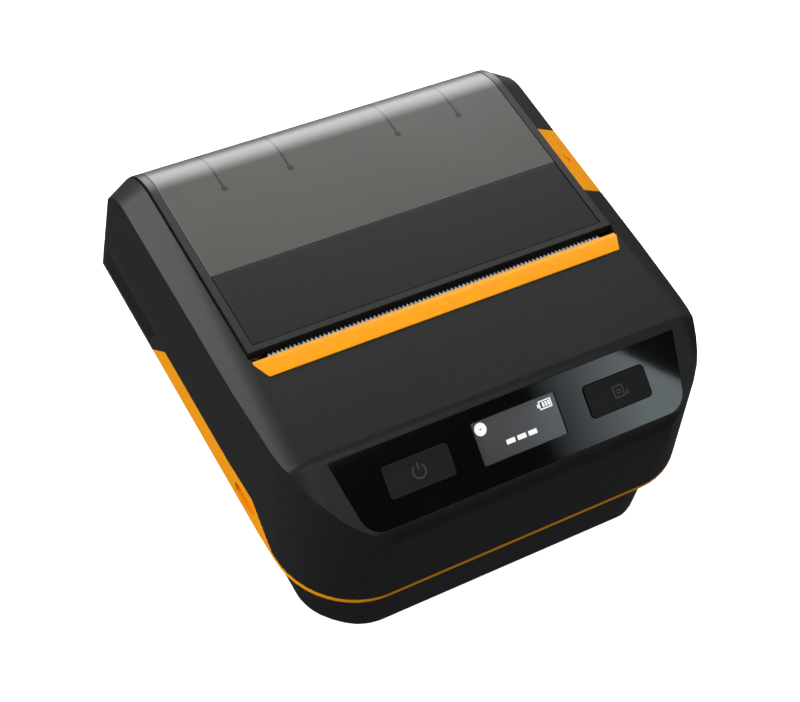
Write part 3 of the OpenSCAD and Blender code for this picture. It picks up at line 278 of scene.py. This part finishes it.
nodeFinishes = dict(
    upper_shell="shellBlack", bottom_shell="baseBlack", side_band="accentOrange", tear_bezel="bezelOrange",
    tear_blade="bladeSteel", panel_lens="lensBlack", display_module="displayGlass", panel_board="boardGreen",
    panel_switches="switchGrey", power_button="keyBlack", feed_button="keyBlack",
    release_button="accentOrange", release_spring="pinSteel", lock_lever="leverSteel", lid_frame="frameBlackPaintedHighlight",
    lid_window="windowSmoke", lid_cover_plate="coverBlack", hinge_pin="pinSteel", lid_spring="pinSteel",
    platen_roller="platenRubber", platen_shaft="pinSteel", platen_gear="gearAcetal",
    platen_bushes="gearAcetal",
    mechanism_frame="plateSteel", printhead_element="headCeramic", printhead_heatsink="headAluminium",
    printhead_springs="pinSteel", stepper_motor="plateSteel", motor_pinion="pinionBrass",
    reduction_gear="gearAcetal", gap_sensor="bayBlack", paper_bay="bayBlack",
    main_board="boardGreen", charge_board="boardGreen", charge_port="plateSteel",
    battery_pack="batterySleeve", battery_door="baseBlack", mechanism_screws="pinSteel",
    housing_screws="screwSteel", rubber_feet="footRubber")


def paint(obj, material):
    if not obj.material_slots:
        obj.data.materials.append(material)
    for materialSlot in obj.material_slots:
        materialSlot.material = material


for nodeName, finish in nodeFinishes.items():
    paint(nodes[nodeName], materials[finish])
print("finishes given to", len(nodeFinishes), "nodes")


# softened edges on the moulded pieces

softEdges = dict(upper_shell=0.35, bottom_shell=0.3, side_band=0.15, lid_frame=0.25, lid_window=0.2,
                 lid_cover_plate=0.15, tear_bezel=0.2, power_button=0.12, feed_button=0.12,
                 release_button=0.3, battery_door=0.3)
softening = dict(weld=0.001, flatWithin=0.6, segments=3, sharperThan=28)


def softenEdges(obj, radius):
    weld = obj.modifiers.new("weld", "WELD")
    weld.merge_threshold = softening["weld"] * mm
    flatten = obj.modifiers.new("flatten", "DECIMATE")
    flatten.decimate_type = "DISSOLVE"
    flatten.angle_limit = math.radians(softening["flatWithin"])
    bevel = obj.modifiers.new("softEdge", "BEVEL")
    bevel.width = radius * mm
    bevel.segments = softening["segments"]
    bevel.limit_method = "ANGLE"
    bevel.angle_limit = math.radians(softening["sharperThan"])
    normals = obj.modifiers.new("evenNormals", "WEIGHTED_NORMAL")
    normals.keep_sharp = True
    obj.data.shade_smooth()


for nodeName, radius in softEdges.items():
    softenEdges(nodes[nodeName], radius)
print("edges softened")


# printed marks on the control panel, generic shapes only

panelSetup = dict(tilt=math.radians(31.5), topY=-35.9, topZ=48.5, printThick=0.03)


# places a mark drawn flat, x across and y up the slope, at a point on the control panel
def panelPlace(across, down, lift):
    tilt = panelSetup["tilt"]
    up = Vector((0, math.cos(tilt), math.sin(tilt)))
    out = Vector((0, -math.sin(tilt), math.cos(tilt)))
    corner = Vector((across, panelSetup["topY"], panelSetup["topZ"]))
    spot = (corner - up * down + out * lift) * mm
    return Matrix.Translation(spot) @ Matrix.Rotation(tilt, 4, "X")


def addBar(bm, across, up, width, height):
    size = Matrix.Diagonal((width * mm, height * mm, panelSetup["printThick"] * mm, 1.0))
    bmesh.ops.create_cube(bm, size=1.0, matrix=Matrix.Translation((across * mm, up * mm, 0)) @ size)


# ring or part of a ring, angles in degrees round from +x
def addArc(bm, across, up, radius, width, start, sweep, steps=36):
    turn = Matrix.Rotation(math.radians(start), 4, "Z")
    centre = Vector((across * mm, up * mm, 0))
    stand = Matrix.Translation((radius * mm, 0, 0)) @ Matrix.Rotation(math.pi / 2, 4, "X")
    size = Matrix.Diagonal((width * mm, panelSetup["printThick"] * mm, 1.0, 1.0))
    made = bmesh.ops.create_grid(bm, x_segments=1, y_segments=1, size=0.5,
                                 matrix=Matrix.Translation(centre) @ turn @ stand @ size)
    section = made["verts"] + list({e for v in made["verts"] for e in v.link_edges})
    section += list({f for v in made["verts"] for f in v.link_faces})
    bmesh.ops.spin(bm, geom=section, cent=centre, axis=(0, 0, 1), angle=math.radians(sweep), steps=steps,
                   use_merge=sweep == 360)


def finishMark(name, bm, place, material, body):
    bmesh.ops.transform(bm, matrix=place, verts=bm.verts)
    bmesh.ops.recalc_face_normals(bm, faces=bm.faces)
    mesh = bpy.data.meshes.new(name)
    bm.to_mesh(mesh)
    bm.free()
    mark = bpy.data.objects.new(name, mesh)
    bpy.context.scene.collection.objects.link(mark)
    mark.data.materials.append(material)
    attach(mark, body)
    return mark


powerMark = dict(across=-24.6, down=7.9, lift=0.515, radius=1.45, stroke=0.32, gap=70, bar=1.5)
bm = bmesh.new()
addArc(bm, 0, 0, powerMark["radius"], powerMark["stroke"], 90 + powerMark["gap"] / 2, 360 - powerMark["gap"])
addBar(bm, 0, powerMark["radius"] * 0.75, powerMark["stroke"], powerMark["bar"])
finishMark("powerMark", bm, panelPlace(powerMark["across"], powerMark["down"], powerMark["lift"]),
           materials["keyPrint"], "power_key")

feedMark = dict(across=24.6, down=7.9, lift=0.515, width=2.3, height=2.7, stroke=0.3, arrow=1.1)
bm = bmesh.new()
for side in (-1, 1):
    addBar(bm, side * feedMark["width"] / 2, 0, feedMark["stroke"], feedMark["height"])
    addBar(bm, 0, side * (feedMark["height"] - feedMark["stroke"]) / 2, feedMark["width"], feedMark["stroke"])
addBar(bm, 0, 0.3, feedMark["arrow"], feedMark["stroke"])
addBar(bm, 0, -0.3, feedMark["arrow"], feedMark["stroke"])
addBar(bm, feedMark["width"] / 2 + 0.9, -feedMark["height"] / 2 + 0.4, feedMark["arrow"], feedMark["stroke"])
addBar(bm, feedMark["width"] / 2 + 0.9, -feedMark["height"] / 2 + 0.7, feedMark["stroke"], feedMark["arrow"])
finishMark("feedMark", bm, panelPlace(feedMark["across"], feedMark["down"], feedMark["lift"]),
           materials["keyPrint"], "feed_key")

# lit marks of the display: a round mark, a battery gauge and three bars for the message
displayMarks = dict(down=7.6, lift=-0.285, roundAt=(-8.4, 2.9), roundR=0.8, roundStroke=1.2,
                    gaugeAt=(7.6, 2.9), gauge=(2.8, 1.9), stroke=0.25, messageAt=-1.6, message=(2.1, 1.0,
                        2.7))
bm = bmesh.new()
addArc(bm, *displayMarks["roundAt"], displayMarks["roundR"], displayMarks["roundStroke"], 0, 360)
gaugeX, gaugeY = displayMarks["gaugeAt"]
gaugeW, gaugeH = displayMarks["gauge"]
for side in (-1, 1):
    addBar(bm, gaugeX + side * gaugeW / 2, gaugeY, displayMarks["stroke"], gaugeH)
    addBar(bm, gaugeX, gaugeY + side * (gaugeH - displayMarks["stroke"]) / 2, gaugeW, displayMarks["stroke"])
for cell in range(3):
    addBar(bm, gaugeX + (cell - 0.7) * gaugeW / 4, gaugeY, gaugeW / 6, gaugeH * 0.55)
addBar(bm, gaugeX - gaugeW / 2 - 0.35, gaugeY, 0.45, gaugeH * 0.4)
for cell in (-1, 0, 1):
    width, height, step = displayMarks["message"]
    addBar(bm, cell * step, displayMarks["messageAt"], width, height)
finishMark("displayMarks", bm, panelPlace(0, displayMarks["down"], displayMarks["lift"]),
           materials["displayInk"], "housing")
print("panel marks made")


# stage: white floor, grey surround and four soft lights

floorSetup = dict(size=4.0, colour="#ffffff", glow=0.9)
bm = bmesh.new()
bmesh.ops.create_grid(bm, x_segments=1, y_segments=1, size=floorSetup["size"] / 2)
floorMesh = bpy.data.meshes.new("floor")
bm.to_mesh(floorMesh)
bm.free()
floor = bpy.data.objects.new("floor", floorMesh)
bpy.context.scene.collection.objects.link(floor)
# painted studio board lit from below: even, matt and without shadow
floorMaterial, tree, shader, coords = newMaterial("paintedBoard")
shader.inputs["Base Color"].default_value = linear(floorSetup["colour"])
shader.inputs["Roughness"].default_value = 0.9
shader.inputs["Emission Color"].default_value = linear(floorSetup["colour"])
shader.inputs["Emission Strength"].default_value = floorSetup["glow"]
floor.data.materials.append(floorMaterial)
floor.visible_glossy = False
floor.visible_diffuse = False

worldSetup = dict(low="#5c5c5c", high="#6c6e72", strength=1.0, lowTo=0.15, highFrom=0.55)
world = bpy.data.worlds.new("studio")
world.use_nodes = True
bpy.context.scene.world = world
tree = world.node_tree
tree.nodes.clear()
direction = addNode(tree, "ShaderNodeTexCoord").outputs["Generated"]
height = addNode(tree, "ShaderNodeSeparateXYZ", links={"Vector": direction}).outputs["Z"]
ramp = addNode(tree, "ShaderNodeValToRGB", links={"Fac": height})
ramp.color_ramp.elements[0].position = worldSetup["lowTo"]
ramp.color_ramp.elements[0].color = linear(worldSetup["low"])
ramp.color_ramp.elements[1].position = worldSetup["highFrom"]
ramp.color_ramp.elements[1].color = linear(worldSetup["high"])
background = addNode(tree, "ShaderNodeBackground", {"Strength": worldSetup["strength"]},
                     {"Color": ramp.outputs["Color"]})
addNode(tree, "ShaderNodeOutputWorld", links={"Surface": background.outputs["Background"]})

lights = dict(
    leftRear=dict(place=(-0.55, 0.60, 0.62), aim=(0, 0, 0.02), size=(0.5, 0.5), power=6.5, colour="#ffffff"),
    rear=dict(place=(0.42, 0.95, 0.34), aim=(0, 0.03, 0.03), size=(0.9, 0.75), power=12.0, colour="#ffffff"),
    left=dict(place=(-0.95, -0.15, 0.22), aim=(0, 0, 0.02), size=(0.5, 0.35), power=4.5, colour="#ffffff"),
    top=dict(place=(0.1, -0.6, 1.2), aim=(0, 0, 0.02), size=(0.9, 0.5), power=3.8, colour="#ffffff"),
)


def addLight(name, setup):
    lamp = bpy.data.lights.new(name, "AREA")
    lamp.shape = "RECTANGLE"
    lamp.size, lamp.size_y = setup["size"]
    lamp.energy = setup["power"]
    lamp.color = linear(setup["colour"])[:3]
    light = bpy.data.objects.new(name, lamp)
    bpy.context.scene.collection.objects.link(light)
    toward = Vector(setup["aim"]) - Vector(setup["place"])
    light.matrix_world = Matrix.LocRotScale(Vector(setup["place"]), toward.to_track_quat("-Z", "Y"), None)
    return light


for lightName, setup in lights.items():
    addLight(lightName, setup)

# pale card that the panel lens mirrors, corners given as the points of the lens it is seen at

cardSetup = dict(away=0.6, corners=((4.0, -20.0), (50.0, -20.0), (4.0, 6.0), (21.5, 6.0)),
                 colour="#b8c4c8", glow=15.0, fadeFrom=(4.0, -7.0), fadeTo=(30.0, -7.0))


# where the view ray through a point of the lens lands once the lens has mirrored it
def mirroredPoint(across, up, away):
    tilt = panelSetup["tilt"]
    out = Vector((0, -math.sin(tilt), math.cos(tilt)))
    spot = panelPlace(across, -up, 0).translation
    ray = (spot - Vector(cameraSetup["place"])).normalized()
    bounced = ray - out * (2 * ray.dot(out))
    return spot + bounced * away


bm = bmesh.new()
bmesh.ops.create_grid(bm, x_segments=1, y_segments=1, size=0.5)
corners = sorted(bm.verts, key=lambda v: (v.co.y, v.co.x))
for corner, (across, up) in zip(corners, cardSetup["corners"]):
    corner.co = mirroredPoint(across, up, cardSetup["away"])
cardMesh = bpy.data.meshes.new("card")
bm.to_mesh(cardMesh)
bm.free()
card = bpy.data.objects.new("card", cardMesh)
bpy.context.scene.collection.objects.link(card)
# lit paper card, fading out towards one end
cardMaterial, tree, shader, coords = newMaterial("litCard")
shader.inputs["Base Color"].default_value = linear("#000000")
shader.inputs["Emission Color"].default_value = linear(cardSetup["colour"])
sideways = addNode(tree, "ShaderNodeSeparateXYZ", links={"Vector": coords}).outputs["X"]
nearEnd = mirroredPoint(*cardSetup["fadeFrom"], cardSetup["away"]).x
farEnd = mirroredPoint(*cardSetup["fadeTo"], cardSetup["away"]).x
fade = addNode(tree, "ShaderNodeMapRange", {"From Min": nearEnd, "From Max": farEnd, "To Min": 0.0,
                                            "To Max": cardSetup["glow"]}, {"Value": sideways})
tree.links.new(fade.outputs["Result"], shader.inputs["Emission Strength"])
card.data.materials.append(cardMaterial)
card.visible_diffuse = False
print("stage and lights placed")
